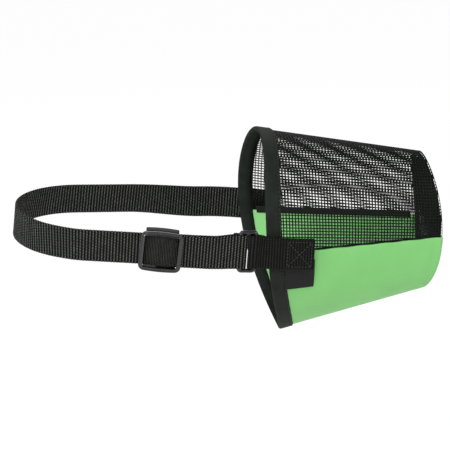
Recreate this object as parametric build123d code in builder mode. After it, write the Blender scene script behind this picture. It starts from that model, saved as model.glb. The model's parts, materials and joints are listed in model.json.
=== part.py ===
"""Soft basket muzzle: a mesh hood and coated fabric shell on an adjustable webbing neck strap.

+X points to the nose, +Z up. The origin is the centre of the snout opening. Sizes are in millimetres.
"""

from build123d import *

import math
import os

# Basket outline: the opening (rear) and nose (front) sections of a tapering teardrop tube
basket_length = 144.0
opening_top = 83.0
opening_bottom = -87.0
opening_half_width = 58.0
opening_widest_height = 14.0
nose_top = 52.5
nose_bottom = -58.7
nose_half_width = 30.0
nose_widest_height = 6.0
rim_sweep_radius = 287.5
rim_sweep_height = 21.3
nose_sweep_radius = 237.0
nose_sweep_height = -11.3

# Sheets, tapes and seams
sheet_thickness = 1.2
cloth_gap = 0.05
seam_gap = 0.1
seam_height_at_rim = 0.5
seam_drop_angle = 3.3
binding_width = 11.0
binding_thickness = 1.0
tape_thickness = 0.8
hem_tape_height = 8.0
hem_tape_lap = 2.0
nose_tape_width = 8.0
keel_tape_width = 12.0

# Webbing and its attachments
webbing_width = 25.4
webbing_thickness = 1.4
swing_axis_x = -5.0
swing_axis_z = 5.6
swing_gap = 0.6
side_gap = 0.4
loop_tilt = 6.0
tab_tilt = 10.0
tab_length = 41.0
far_end_length = 36.0
loop_rear_radius = 51.5
loop_reach = 173.0
far_corner_distance = 12.0
far_corner_radius = 25.0

# Stitching and label
stitch_margin = 2.6
stitch_box_length = 19.0
stitch_width = 0.9
stitch_height = 0.3
label_length = 21.0
label_drop = 17.0
label_tuck = 2.5
label_thickness = 0.8
label_reach = 20.0

# Keeper ring
bar_radius = 1.6
bar_gap = 0.25
ring_pitch = 11.2
ring_side_clearance = 0.5
ring_rail_height = 3.2
ring_bar_offset = 6.0
fold_slack = 1.6
fold_return = 5.0

# Slider
slider_length = 31.0
slider_height = 32.6
slider_centre_distance = 58.0
slider_bar_width = 4.2
slider_bar_thickness = 2.6
slider_gap = 0.3
slider_window_clearance = 0.5
slider_corner_radius = 3.0
slider_edge_radius = 0.7
centre_bar_radius = 1.5
centre_bar_inlay = 0.05
end_tail_length = 24.0
end_ply_gap = 0.4

ply = webbing_thickness / 2
tab_thickness = 2 * webbing_thickness
side_slope = (opening_half_width - nose_half_width) / basket_length
side_angle = math.atan(side_slope)
half_web = webbing_width / 2
reach = 600.0


def between(opening_value, nose_value, station):
    """Value at a station along the basket, straight from the opening to the nose."""
    return opening_value + (nose_value - opening_value) * station / basket_length


def basket_envelope(inset):
    """Solid teardrop tube whose skin lies the given distance inside the basket's outer skin."""
    crease_inset = 1.1 * inset
    with BuildPart() as envelope:
        for station in (-20.0, basket_length + 20.0):
            width = between(opening_half_width, nose_half_width, station) - inset
            top = between(opening_top, nose_top, station) - inset
            bottom = between(opening_bottom, nose_bottom, station) + crease_inset
            widest = between(opening_widest_height, nose_widest_height, station)
            rise = top - widest
            drop = widest - bottom
            with BuildSketch(Plane.YZ.offset(station)):
                with BuildLine():
                    for side in (1, -1):
                        edge = side * width
                        Bezier(
                            (0, top),
                            (0.55 * edge, top),
                            (edge, widest + 0.55 * rise),
                            (edge, widest),
                        )
                        Bezier(
                            (edge, widest),
                            (edge, widest - 0.45 * drop),
                            (0.66 * edge, bottom + 0.17 * drop),
                            (0, bottom),
                        )
                make_face()
        loft(ruled=True)
    return envelope.part


def cross_cylinder(radius, centre_x, centre_z):
    """Long cylinder lying across the basket, parallel to Y."""
    with BuildPart() as cylinder:
        with Locations((centre_x, 0, centre_z)):
            Cylinder(radius, reach, rotation=(90, 0, 0))
    return cylinder.part


def rim_cutter(depth):
    """Everything ahead of the curved rim line, set forward by the given depth."""
    return cross_cylinder(rim_sweep_radius - depth, rim_sweep_radius, rim_sweep_height)


def nose_cutter(depth):
    """Everything behind the curved nose line, set back by the given depth."""
    centre_x = basket_length - nose_sweep_radius
    return cross_cylinder(nose_sweep_radius - depth, centre_x, nose_sweep_height)


lining = sheet_thickness + cloth_gap
tape_skin = lining + tape_thickness
outer_skin = basket_envelope(0)
inner_skin = basket_envelope(sheet_thickness)
lining_skin = basket_envelope(lining)
tape_envelope = basket_envelope(tape_skin)
sheet_rim = rim_cutter(0)
sheet_nose = nose_cutter(0)
seam_plane = Plane(
    origin=(0, 0, seam_height_at_rim),
    x_dir=(math.cos(math.radians(seam_drop_angle)), 0, -math.sin(math.radians(seam_drop_angle))),
    z_dir=(math.sin(math.radians(seam_drop_angle)), 0, math.cos(math.radians(seam_drop_angle))),
)

# ---------------------------------------------------------------- basket sheets
with BuildPart() as mesh_hood:
    add(outer_skin)
    add(inner_skin, mode=Mode.SUBTRACT)
    add(sheet_rim, mode=Mode.INTERSECT)
    add(sheet_nose, mode=Mode.INTERSECT)
    split(bisect_by=seam_plane.offset(seam_gap / 2), keep=Keep.TOP)
mesh_hood.part.label = "mesh_hood"

with BuildPart() as lower_shell:
    add(outer_skin)
    add(inner_skin, mode=Mode.SUBTRACT)
    add(sheet_rim, mode=Mode.INTERSECT)
    add(sheet_nose, mode=Mode.INTERSECT)
    split(bisect_by=seam_plane.offset(-seam_gap / 2), keep=Keep.BOTTOM)
lower_shell.part.label = "lower_shell"

nose_back = nose_cutter(sheet_thickness)
with BuildPart() as nose_panel:
    add(lining_skin)
    add(sheet_nose, mode=Mode.INTERSECT)
    add(nose_back, mode=Mode.SUBTRACT)
    split(bisect_by=Plane.YZ, keep=Keep.TOP)
nose_panel.part.label = "nose_panel"

# ---------------------------------------------------------------- tapes and binding
binding_outer = basket_envelope(-binding_thickness)
binding_inner = basket_envelope(sheet_thickness + binding_thickness)
binding_front = rim_cutter(binding_width)
binding_back = rim_cutter(-binding_thickness)
groove_outer = basket_envelope(-cloth_gap)
groove_rim = rim_cutter(-cloth_gap)
with BuildPart() as groove:
    add(groove_outer)
    add(lining_skin, mode=Mode.SUBTRACT)
    add(groove_rim, mode=Mode.INTERSECT)
with BuildPart() as rim_binding:
    add(binding_outer)
    add(binding_inner, mode=Mode.SUBTRACT)
    add(binding_back, mode=Mode.INTERSECT)
    add(binding_front, mode=Mode.SUBTRACT)
    add(groove.part, mode=Mode.SUBTRACT)
rim_binding.part.label = "rim_binding"

tape_rim = rim_cutter(binding_width + cloth_gap)
nose_tape_front = nose_cutter(sheet_thickness + cloth_gap)
nose_tape_back = nose_cutter(sheet_thickness + nose_tape_width)
side_tape_nose = nose_cutter(sheet_thickness + nose_tape_width + cloth_gap)
with BuildPart() as nose_seam_tape:
    add(lining_skin)
    add(tape_envelope, mode=Mode.SUBTRACT)
    add(nose_tape_front, mode=Mode.INTERSECT)
    add(nose_tape_back, mode=Mode.SUBTRACT)
    split(bisect_by=Plane.YZ.offset(basket_length / 2), keep=Keep.TOP)
nose_seam_tape.part.label = "nose_seam_tape"

with BuildPart() as side_tapes:
    add(lining_skin)
    add(tape_envelope, mode=Mode.SUBTRACT)
    add(tape_rim, mode=Mode.INTERSECT)
    add(side_tape_nose, mode=Mode.INTERSECT)
    split(bisect_by=seam_plane.offset(hem_tape_height - hem_tape_lap), keep=Keep.BOTTOM)
    split(bisect_by=seam_plane.offset(-hem_tape_lap), keep=Keep.TOP)
with BuildPart() as hem_tape_near:
    add(side_tapes.part)
    split(bisect_by=Plane.XZ, keep=Keep.TOP)
hem_tape_near.part.label = "hem_tape_near"
with BuildPart() as hem_tape_far:
    add(side_tapes.part)
    split(bisect_by=Plane.XZ, keep=Keep.BOTTOM)
hem_tape_far.part.label = "hem_tape_far"

with BuildPart() as keel_tape_zone:
    with Locations((basket_length / 2, 0, opening_bottom)):
        Box(2 * basket_length, keel_tape_width, 2 * abs(nose_bottom))
with BuildPart() as keel_tape:
    add(lining_skin)
    add(tape_envelope, mode=Mode.SUBTRACT)
    add(tape_rim, mode=Mode.INTERSECT)
    add(side_tape_nose, mode=Mode.INTERSECT)
    add(keel_tape_zone.part, mode=Mode.INTERSECT)
keel_tape.part.label = "keel_tape"

# ---------------------------------------------------------------- sewn ends of the webbing
# Distance from the middle plane to a side attachment's mid-thickness, at the swing axis.
skin_at_axis = opening_half_width - side_slope * swing_axis_x
near_offset = skin_at_axis + binding_thickness + side_gap + tab_thickness / 2
far_offset = skin_at_axis + binding_thickness + side_gap + ply
tilt = math.radians(tab_tilt)
near_tab_plane = Plane(
    origin=(swing_axis_x, -near_offset, swing_axis_z),
    x_dir=(
        math.cos(side_angle) * math.cos(tilt),
        math.sin(side_angle) * math.cos(tilt),
        -math.sin(tilt),
    ),
    z_dir=(math.sin(side_angle), -math.cos(side_angle), 0),
)
far_end_plane = Plane(
    origin=(swing_axis_x, far_offset, swing_axis_z),
    x_dir=(math.cos(side_angle), -math.sin(side_angle), 0),
    z_dir=(math.sin(side_angle), math.cos(side_angle), 0),
)
axis_clearance = cross_cylinder(half_web + swing_gap, swing_axis_x, swing_axis_z)
axis_round = cross_cylinder(half_web, swing_axis_x, swing_axis_z)

with BuildPart() as side_tab:
    with BuildSketch(near_tab_plane):
        with Locations((tab_length / 2, 0)):
            Rectangle(tab_length, webbing_width)
    extrude(amount=tab_thickness / 2, both=True)
    add(axis_clearance, mode=Mode.SUBTRACT)
side_tab.part.label = "side_tab"

with BuildPart() as far_strap_end:
    with BuildSketch(far_end_plane):
        with Locations((far_end_length / 2, 0)):
            Rectangle(far_end_length, webbing_width)
    extrude(amount=ply, both=True)
    add(axis_clearance, mode=Mode.SUBTRACT)
far_strap_end.part.label = "far_strap_end"

with BuildPart() as label_outline:
    with BuildSketch(near_tab_plane.offset(-label_reach)):
        label_top = label_tuck - half_web
        label_bottom = -half_web - label_drop
        with Locations((tab_length - label_length / 2, (label_top + label_bottom) / 2)):
            Rectangle(label_length, label_top - label_bottom)
    extrude(amount=2 * label_reach)
label_back = basket_envelope(-side_gap / 2)
label_front = basket_envelope(-side_gap / 2 - label_thickness)
label_rim = rim_cutter(binding_width + side_gap)
with BuildPart() as label_patch:
    add(label_front)
    add(label_back, mode=Mode.SUBTRACT)
    add(label_rim, mode=Mode.INTERSECT)
    add(label_outline.part, mode=Mode.INTERSECT)
label_patch.part.label = "label_patch"


def box_stitch(plane, start, end, surface):
    """Boxed cross of stitching that stands on a piece of webbing drawn in the given plane."""
    length = end - start
    height = webbing_width - 2 * stitch_margin
    diagonal = math.hypot(length, height) - stitch_width
    slant = math.degrees(math.atan2(height, length))
    with BuildPart() as stitching:
        with BuildSketch(plane.offset(surface)):
            with Locations(((start + end) / 2, 0)):
                Rectangle(length, height)
                Rectangle(length - 2 * stitch_width, height - 2 * stitch_width, mode=Mode.SUBTRACT)
                Rectangle(diagonal, stitch_width, rotation=slant)
                Rectangle(diagonal, stitch_width, rotation=-slant)
        extrude(amount=stitch_height)
    return stitching.part


tab_stitching = box_stitch(
    near_tab_plane,
    tab_length - stitch_margin - stitch_box_length,
    tab_length - stitch_margin,
    tab_thickness / 2,
)
tab_stitching.label = "tab_stitching"
far_stitching = box_stitch(
    far_end_plane,
    far_end_length - stitch_margin - stitch_box_length,
    far_end_length - stitch_margin,
    ply,
)
far_stitching.label = "far_stitching"

# ---------------------------------------------------------------- neck strap loop
# Drawn in a plane tilted about the swing axis; local x runs forward from that axis.
lean = math.radians(loop_tilt)
loop_plane = Plane(
    origin=(swing_axis_x, 0, swing_axis_z),
    x_dir=(math.cos(lean), 0, -math.sin(lean)),
    z_dir=(math.sin(lean), 0, math.cos(lean)),
)
eye_radius = bar_radius + bar_gap
front_bar = Vector(-ring_bar_offset, -near_offset - side_slope * ring_bar_offset)
rear_bar = Vector(front_bar.X - ring_pitch, front_bar.Y)
running_offset = ply + slider_gap + bar_radius
rear_centre_x = loop_rear_radius - loop_reach


def side_run_angle(point_x, point_y):
    """Angle at which a straight side leaves a point to touch the rear bend, in radians."""
    away = math.hypot(point_x - rear_centre_x, point_y)
    return math.atan2(point_y, point_x - rear_centre_x) - math.asin(loop_rear_radius / away)


def bend_touch(angle, side):
    """Point where a straight side at the given angle meets the rear bend."""
    return Vector(
        rear_centre_x - loop_rear_radius * math.sin(angle),
        side * loop_rear_radius * math.cos(angle),
    )


near_start = Vector(rear_bar.X, rear_bar.Y - running_offset)
near_angle = side_run_angle(near_start.X, -near_start.Y)
forward = Vector(math.cos(near_angle), -math.sin(near_angle))
outward = Vector(-math.sin(near_angle), -math.cos(near_angle))
far_tip = Vector(half_web + 1, far_offset - side_slope * (half_web + 1))
far_corner = Vector(-far_corner_distance, far_offset + side_slope * far_corner_distance)
far_angle = side_run_angle(far_corner.X, far_corner.Y)
far_touch = bend_touch(far_angle, 1)
near_touch = bend_touch(near_angle, -1)
fold_radius = (2 * bar_radius + slider_gap + fold_slack + webbing_thickness) / 2
fold_end = near_start - outward * (2 * fold_radius)
fold_tip = near_start + (forward - outward) * fold_radius
far_length = (far_corner - far_touch).length
far_blend = far_corner_radius * math.tan((side_angle + far_angle) / 2)
blend_start = far_corner + (far_tip - far_corner).normalized() * far_blend
blend_end = far_corner + (far_touch - far_corner).normalized() * far_blend

with BuildPart() as far_tip_trim:
    with Locations(loop_plane):
        with Locations((half_web, far_offset, 0)):
            Box(2 * half_web, webbing_width, 2 * webbing_width)
    add(axis_round, mode=Mode.SUBTRACT)
with BuildPart() as neck_strap:
    with BuildSketch(loop_plane):
        with BuildLine(mode=Mode.PRIVATE) as strap_route:
            Line(far_tip, blend_start)
            TangentArc(blend_start, blend_end, tangent=blend_start - far_tip)
            Line(blend_end, far_touch)
            ThreePointArc(far_touch, (-loop_reach, 0), near_touch)
            Line(near_touch, near_start)
            ThreePointArc(near_start, fold_tip, fold_end)
            Line(fold_end, fold_end - forward * fold_return)
        trace(strap_route.edges(), line_width=webbing_thickness)
    extrude(amount=half_web, both=True)
    add(far_tip_trim.part, mode=Mode.SUBTRACT)
neck_strap.part.label = "neck_strap"

with BuildPart() as tab_end_trim:
    with Locations(loop_plane):
        with Locations((half_web, -near_offset, 0)):
            Box(2 * half_web, webbing_width, 2 * webbing_width)
    add(axis_round, mode=Mode.SUBTRACT)
tab_slab_length = half_web + 1 + ring_bar_offset
tab_slab_middle = (half_web + 1 - ring_bar_offset) / 2
with BuildPart() as tab_loop:
    with BuildSketch(loop_plane):
        with Locations((tab_slab_middle, -near_offset + side_slope * tab_slab_middle)):
            Rectangle(tab_slab_length, tab_thickness, rotation=math.degrees(side_angle))
        with Locations(front_bar):
            Circle(eye_radius + webbing_thickness)
            Circle(eye_radius, mode=Mode.SUBTRACT)
    extrude(amount=half_web, both=True)
    add(tab_end_trim.part, mode=Mode.SUBTRACT)
tab_loop.part.label = "tab_loop"

# ---------------------------------------------------------------- keeper ring
ring_inner_height = webbing_width + 2 * ring_side_clearance
with BuildPart() as keeper_ring:
    with BuildSketch(loop_plane.offset(-ring_inner_height / 2)):
        with Locations(front_bar, rear_bar):
            Circle(bar_radius)
    extrude(amount=ring_inner_height)
    for side in (1, -1):
        rail_start = side * ring_inner_height / 2
        with BuildSketch(loop_plane.offset(rail_start)):
            with Locations((front_bar + rear_bar) / 2):
                SlotCenterToCenter(ring_pitch, 2 * bar_radius)
        extrude(amount=side * ring_rail_height)
keeper_ring.part.label = "keeper_ring"

# ---------------------------------------------------------------- slider and the ply sewn to it
# Local x runs forward along the near side of the strap, y up, z outward; origin at the ring.
run_origin = loop_plane.from_local_coords(near_start)
run_forward = loop_plane.from_local_coords(near_start + forward) - run_origin
run_outward = loop_plane.from_local_coords(near_start + outward) - run_origin
run_plane = Plane(origin=run_origin, x_dir=run_forward, z_dir=run_outward)
centre_bar_depth = ply + slider_gap + webbing_thickness + end_ply_gap + centre_bar_radius
frame_back = -centre_bar_depth - centre_bar_radius
side_bar_back = ply + slider_gap
window_height = webbing_width + 2 * slider_window_clearance
slider_plane = Plane(
    origin=run_plane.from_local_coords(Vector(-slider_centre_distance, 0, 0)),
    x_dir=run_forward,
    z_dir=run_outward,
)
end_eye_plane = Plane(
    origin=slider_plane.from_local_coords(Vector(0, 0, -centre_bar_depth)),
    x_dir=slider_plane.x_dir,
    z_dir=slider_plane.y_dir,
)
with BuildPart() as slider_frame:
    with BuildSketch(slider_plane.offset(side_bar_back)):
        RectangleRounded(slider_length, slider_height, slider_corner_radius)
        Rectangle(slider_length - 2 * slider_bar_width, window_height, mode=Mode.SUBTRACT)
    extrude(amount=slider_bar_thickness)
    front_face = slider_frame.faces().sort_by(Axis(slider_plane.origin, slider_plane.z_dir))[-1]
    fillet(front_face.edges(), slider_edge_radius)
    rail_height = (slider_height - window_height) / 2
    with BuildSketch(slider_plane.offset(frame_back)):
        for side in (1, -1):
            with Locations((0, side * (window_height + rail_height) / 2)):
                Rectangle(slider_length - 2 * slider_corner_radius, rail_height)
    extrude(amount=side_bar_back + slider_bar_thickness / 2 - frame_back)
    with BuildSketch(end_eye_plane):
        Circle(centre_bar_radius - centre_bar_inlay)
    extrude(amount=(window_height + rail_height) / 2, both=True)
slider_frame.part.label = "slider_frame"

end_eye_inner = centre_bar_radius + bar_gap / 2
end_eye_outer = end_eye_inner + webbing_thickness
with BuildPart() as strap_end_loop:
    with BuildSketch(end_eye_plane):
        with Locations((end_tail_length / 2, 0)):
            Rectangle(end_tail_length, tab_thickness)
        Circle(end_eye_outer)
        Circle(end_eye_inner, mode=Mode.SUBTRACT)
    extrude(amount=half_web, both=True)
strap_end_loop.part.label = "strap_end_loop"

# Inner ply: straight from the sewn tail to the end of the fold round the ring
ply_start = Vector(end_tail_length + seam_gap - slider_centre_distance, -centre_bar_depth)
ply_finish = Vector(-fold_return - seam_gap, -2 * fold_radius)
ply_plane = Plane(origin=run_plane.origin, x_dir=run_plane.x_dir, z_dir=run_plane.y_dir)
with BuildPart() as inner_ply:
    with BuildSketch(ply_plane):
        with BuildLine(mode=Mode.PRIVATE) as ply_route:
            Line((ply_start.X, -ply_start.Y), (ply_finish.X, -ply_finish.Y))
        trace(ply_route.edges(), line_width=webbing_thickness)
    extrude(amount=half_web, both=True)
inner_ply.part.label = "inner_ply"

# ---------------------------------------------------------------- export
os.makedirs("parts", exist_ok=True)
subcomponents = [
    mesh_hood.part,
    lower_shell.part,
    nose_panel.part,
    rim_binding.part,
    nose_seam_tape.part,
    hem_tape_near.part,
    hem_tape_far.part,
    keel_tape.part,
    side_tab.part,
    far_strap_end.part,
    label_patch.part,
    tab_stitching,
    far_stitching,
    tab_loop.part,
    neck_strap.part,
    inner_ply.part,
    keeper_ring.part,
    slider_frame.part,
    strap_end_loop.part,
]
for subcomponent in subcomponents:
    export_step(subcomponent, f"parts/{subcomponent.label}.step")

print("swing axis", tuple(loop_plane.origin))
print("front bar", tuple(loop_plane.from_local_coords(front_bar)))
print("loop up", tuple(loop_plane.z_dir), "run forward", tuple(run_forward))
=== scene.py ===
"""Looks of a soft basket muzzle: mesh hood, coated shell, bound rim and an adjustable webbing neck strap."""

from __future__ import annotations

import bisect
import json
import logging
import math
from dataclasses import dataclass, field
from enum import Enum
from typing import Callable, Sequence

import bmesh
import bpy
from mathutils import Matrix, Vector

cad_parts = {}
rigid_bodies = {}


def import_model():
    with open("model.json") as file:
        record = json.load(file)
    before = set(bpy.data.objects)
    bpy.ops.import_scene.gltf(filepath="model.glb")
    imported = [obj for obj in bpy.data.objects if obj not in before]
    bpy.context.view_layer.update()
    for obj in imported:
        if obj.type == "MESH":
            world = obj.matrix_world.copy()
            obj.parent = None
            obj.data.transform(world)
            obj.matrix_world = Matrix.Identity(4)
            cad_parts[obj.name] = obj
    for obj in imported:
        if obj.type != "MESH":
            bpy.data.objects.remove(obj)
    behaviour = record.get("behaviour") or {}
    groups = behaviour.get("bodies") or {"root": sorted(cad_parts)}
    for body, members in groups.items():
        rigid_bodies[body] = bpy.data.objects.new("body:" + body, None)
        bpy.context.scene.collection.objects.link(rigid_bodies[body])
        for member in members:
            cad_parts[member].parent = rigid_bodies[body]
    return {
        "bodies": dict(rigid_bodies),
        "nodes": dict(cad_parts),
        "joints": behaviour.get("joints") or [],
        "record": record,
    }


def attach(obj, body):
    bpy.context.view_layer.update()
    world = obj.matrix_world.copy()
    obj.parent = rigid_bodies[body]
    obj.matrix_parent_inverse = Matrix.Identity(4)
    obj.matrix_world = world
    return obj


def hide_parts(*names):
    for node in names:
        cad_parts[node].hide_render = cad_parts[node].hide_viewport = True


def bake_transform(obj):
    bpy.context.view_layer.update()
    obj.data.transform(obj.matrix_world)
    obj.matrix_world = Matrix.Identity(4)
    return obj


LOG = logging.getLogger("muzzle")
MM = 0.001
RIB_PITCH = 2.25 * MM
Colour = tuple[float, float, float, float]


class Side(Enum):
    """Which side of the basket a piece is on."""

    NEAR = -1
    FAR = 1


# ------------------------------------------------------------------ shader writing
class Socket:
    """A shader value that can be used in plain arithmetic."""

    def __init__(self, tree: "Tree", link: object) -> None:
        """Keep the node tree and the output or number that this value stands for."""
        self.tree = tree
        self.link = link

    def _math(self, operation: str, first: object, second: object = 0.0) -> "Socket":
        """Add one Math node and return its result."""
        node = self.tree.node("ShaderNodeMath", {"operation": operation}, {0: first, 1: second})
        return Socket(self.tree, node.outputs[0])

    def __add__(self, other: object) -> "Socket":
        """self + other."""
        return self._math("ADD", self, other)

    __radd__ = __add__

    def __mul__(self, other: object) -> "Socket":
        """self * other."""
        return self._math("MULTIPLY", self, other)

    __rmul__ = __mul__

    def __sub__(self, other: object) -> "Socket":
        """self - other."""
        return self._math("SUBTRACT", self, other)

    def __rsub__(self, other: object) -> "Socket":
        """other - self."""
        return self._math("SUBTRACT", other, self)

    def __truediv__(self, other: object) -> "Socket":
        """self / other."""
        return self._math("DIVIDE", self, other)

    def wave(self) -> "Socket":
        """Sine of the value, brought from 0 to 1."""
        return self._math("SINE", self) * 0.5 + 0.5

    def power(self, exponent: float) -> "Socket":
        """The value raised to an exponent."""
        return self._math("POWER", self, exponent)

    def floor(self) -> "Socket":
        """The value rounded down."""
        return self._math("FLOOR", self)

    def clamp(self) -> "Socket":
        """The value held between 0 and 1."""
        return self._math("MINIMUM", self._math("MAXIMUM", self, 0.0), 1.0)


class Tree:
    """A material's node tree with one method that makes any node."""

    def __init__(self, name: str) -> None:
        """Start an empty material of that name."""
        self.material = bpy.data.materials.new(name)
        self.material.use_nodes = True
        self.nodes = self.material.node_tree.nodes
        self.links = self.material.node_tree.links
        self.nodes.clear()

    def node(self, kind: str, settings: dict[str, object] | None = None,
             inputs: dict[object, object] | None = None) -> bpy.types.Node:
        """Make a node, set it and link or fill its sockets.

        Args:
            kind: The node's type name.
            settings: Properties set before the sockets.
            inputs: Values or links by socket name or number.

        Returns:
            The new node.
        """
        made = self.nodes.new(kind)
        for name, value in (settings or {}).items():
            setattr(made, name, value)
        for key, value in (inputs or {}).items():
            target = made.inputs[key]
            if isinstance(value, Socket):
                self.links.new(value.link, target)
            elif isinstance(value, bpy.types.NodeSocket):
                self.links.new(value, target)
            else:
                target.default_value = value
        return made

    def out(self, made: bpy.types.Node, key: object = 0) -> Socket:
        """One output of a node as a value."""
        return Socket(self, made.outputs[key])

    def noise(self, coordinates: object, scale: float, detail: float = 3.0) -> Socket:
        """Noise from 0 to 1 over the given coordinates."""
        made = self.node("ShaderNodeTexNoise", None, {"Vector": coordinates, "Scale": scale, "Detail": detail})
        return self.out(made, "Fac")

    def mix(self, share: object, low: Colour, high: Colour) -> Socket:
        """Blend of two colours by a share from 0 to 1."""
        made = self.node("ShaderNodeMix", {"data_type": "RGBA"}, {"Factor": share, 6: low, 7: high})
        return self.out(made, 2)

    def axes(self, coordinates: object) -> tuple[Socket, Socket, Socket]:
        """The three components of a vector."""
        made = self.node("ShaderNodeSeparateXYZ", None, {0: coordinates})
        return self.out(made, 0), self.out(made, 1), self.out(made, 2)

    def surface(self, inputs: dict[object, object], height: object = None, depth: float = 0.001) -> bpy.types.Material:
        """Finish the material with a principled shader.

        Args:
            inputs: The shader's socket values.
            height: A value that raises the surface, if any.
            depth: How far that value raises it, in metres.

        Returns:
            The material.
        """
        shader = self.node("ShaderNodeBsdfPrincipled", None, inputs)
        if height is not None:
            bump = self.node("ShaderNodeBump", None, {"Height": height, "Distance": depth, "Strength": 1.0})
            self.links.new(bump.outputs[0], shader.inputs["Normal"])
        result = self.node("ShaderNodeOutputMaterial")
        self.links.new(shader.outputs[0], result.inputs[0])
        return self.material


@dataclass(frozen=True)
class Webbing:
    """Ribbed black webbing, its ribs across the width, with a painted highlight on its raised rib yarns; UVs run in
    metres along and across it.
    """

    name: str = "ribbed_webbing"
    dark: Colour = (0.0012, 0.0015, 0.0012, 1)
    # The light tone is the painted highlight of the rib tops; the dark tone is the webbing's own near-black.
    light: Colour = (0.225, 0.235, 0.210, 1)
    rib_pitch: float = RIB_PITCH
    yarn_pitch: float = 1.25 * MM
    relief: float = 0.22 * MM
    sharpness: float = 3.0

    def build(self) -> bpy.types.Material:
        """Make the material."""
        tree = Tree(self.name)
        place = tree.node("ShaderNodeUVMap", {"uv_map": "cloth"}).outputs[0]
        along, across, _ = tree.axes(place)
        rib = (along * (2 * math.pi / self.rib_pitch) + math.pi / 2).wave()
        row = (along / self.rib_pitch + 0.5).floor()
        yarn = (across * (2 * math.pi / self.yarn_pitch) + row * math.pi).wave()
        fibre = tree.noise(place, 3200.0, 2.0)
        # Painted highlight: the yarn dashes on the rib tops take the light tone, in patches that vary its strength.
        sheen_patches = tree.noise(place, 170.0)
        highlit_dash = yarn.power(1.4) * rib.power(self.sharpness)
        shade = (highlit_dash * (sheen_patches * 0.9 + 0.3) + fibre * 0.03 - 0.02).clamp()
        height = rib * 0.4 + highlit_dash * 0.5 + fibre * 0.15
        return tree.surface(
            {"Base Color": tree.mix(shade, self.dark, self.light), "Roughness": 0.65 - highlit_dash * 0.15,
             "Specular IOR Level": 0.08}, height, self.relief)


@dataclass(frozen=True)
class Tape:
    """Smooth finely woven tape, a little lighter on its raised yarns."""

    name: str = "binding_tape"
    dark: Colour = (0.0075, 0.0095, 0.0075, 1)
    light: Colour = (0.026, 0.032, 0.027, 1)
    yarn_pitch: float = 0.6 * MM
    relief: float = 0.10 * MM

    def build(self) -> bpy.types.Material:
        """Make the material."""
        tree = Tree(self.name)
        place = tree.node("ShaderNodeUVMap", {"uv_map": "cloth"}).outputs[0]
        along, across, _ = tree.axes(place)
        warp = (along * (2 * math.pi / self.yarn_pitch)).wave()
        weft = (across * (2 * math.pi / self.yarn_pitch)).wave()
        cloud = tree.noise(place, 85.0)
        height = warp * 0.5 + weft * 0.4 + cloud * 1.8
        shade = (warp * weft * 0.45 + (cloud - 0.35) * 1.1).clamp()
        return tree.surface(
            {"Base Color": tree.mix(shade, self.dark, self.light), "Roughness": 0.6 + cloud * 0.2,
             "Specular IOR Level": 0.12}, height, self.relief)


@dataclass(frozen=True)
class CoatedFabric:
    """Bright coated plain-weave fabric with a soft satin face."""

    name: str = "coated_fabric"
    deep: Colour = (0.168, 0.490, 0.136, 1)
    bright: Colour = (0.235, 0.600, 0.190, 1)
    yarn_pitch: float = 0.8 * MM
    relief: float = 0.07 * MM

    def build(self) -> bpy.types.Material:
        """Make the material."""
        tree = Tree(self.name)
        place = tree.node("ShaderNodeUVMap", {"uv_map": "cloth"}).outputs[0]
        along, across, _ = tree.axes(place)
        warp = (along * (2 * math.pi / self.yarn_pitch)).wave()
        weft = (across * (2 * math.pi / self.yarn_pitch)).wave()
        cloud = tree.noise(place, 26.0)
        soft = tree.noise(place, 60.0, 1.0)
        height = warp * weft + soft * 3.0
        shade = (cloud * 0.8 + warp * weft * 0.35 - 0.05).clamp()
        return tree.surface(
            {"Base Color": tree.mix(shade, self.deep, self.bright), "Roughness": 0.46 + cloud * 0.14,
             "Specular IOR Level": 0.3}, height, self.relief)


@dataclass(frozen=True)
class MeshYarn:
    """Vinyl-dipped yarn of the open mesh."""

    name: str = "mesh_yarn"
    dark: Colour = (0.002, 0.0025, 0.002, 1)
    light: Colour = (0.008, 0.010, 0.008, 1)

    def build(self) -> bpy.types.Material:
        """Make the material."""
        tree = Tree(self.name)
        place = tree.node("ShaderNodeTexCoord").outputs["Object"]
        fleck = tree.noise(place, 900.0)
        patch = tree.noise(place, 45.0)
        shade = (fleck * 0.6 + patch * 0.5 - 0.05).clamp()
        return tree.surface(
            {"Base Color": tree.mix(shade, self.dark, self.light), "Roughness": 0.55 + fleck * 0.2,
             "Specular IOR Level": 0.12}, fleck, 0.1 * MM)


@dataclass(frozen=True)
class LabelCloth:
    """Bare satin-woven label cloth with a folded edge."""

    name: str = "label_cloth"
    dark: Colour = (0.003, 0.0032, 0.003, 1)
    light: Colour = (0.011, 0.012, 0.011, 1)
    yarn_pitch: float = 0.45 * MM

    def build(self) -> bpy.types.Material:
        """Make the material."""
        tree = Tree(self.name)
        place = tree.node("ShaderNodeTexCoord").outputs["Object"]
        along, _, up = tree.axes(place)
        warp = (up * (2 * math.pi / self.yarn_pitch)).wave()
        twill = ((along + up) * (2 * math.pi / (3 * self.yarn_pitch))).wave()
        cloud = tree.noise(place, 240.0)
        shade = (warp * 0.35 + twill * 0.3 + cloud * 0.35).clamp()
        return tree.surface(
            {"Base Color": tree.mix(shade, self.dark, self.light), "Roughness": 0.4 + cloud * 0.15,
             "Specular IOR Level": 0.15}, warp + twill * 0.6, 0.08 * MM)


@dataclass(frozen=True)
class Plain:
    """Moulded or threaded finish with a fine grain."""

    name: str
    dark: Colour
    light: Colour
    roughness: float
    grain: float
    relief: float
    coat: float = 0.0
    level: float = 0.5

    def build(self) -> bpy.types.Material:
        """Make the material."""
        tree = Tree(self.name)
        place = tree.node("ShaderNodeTexCoord").outputs["Object"]
        grain = tree.noise(place, self.grain)
        scuff = tree.noise(place, 120.0)
        return tree.surface(
            {"Base Color": tree.mix(grain, self.dark, self.light), "Roughness": self.roughness + scuff * 0.12,
             "Coat Weight": self.coat, "Specular IOR Level": self.level}, grain, self.relief)


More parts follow.
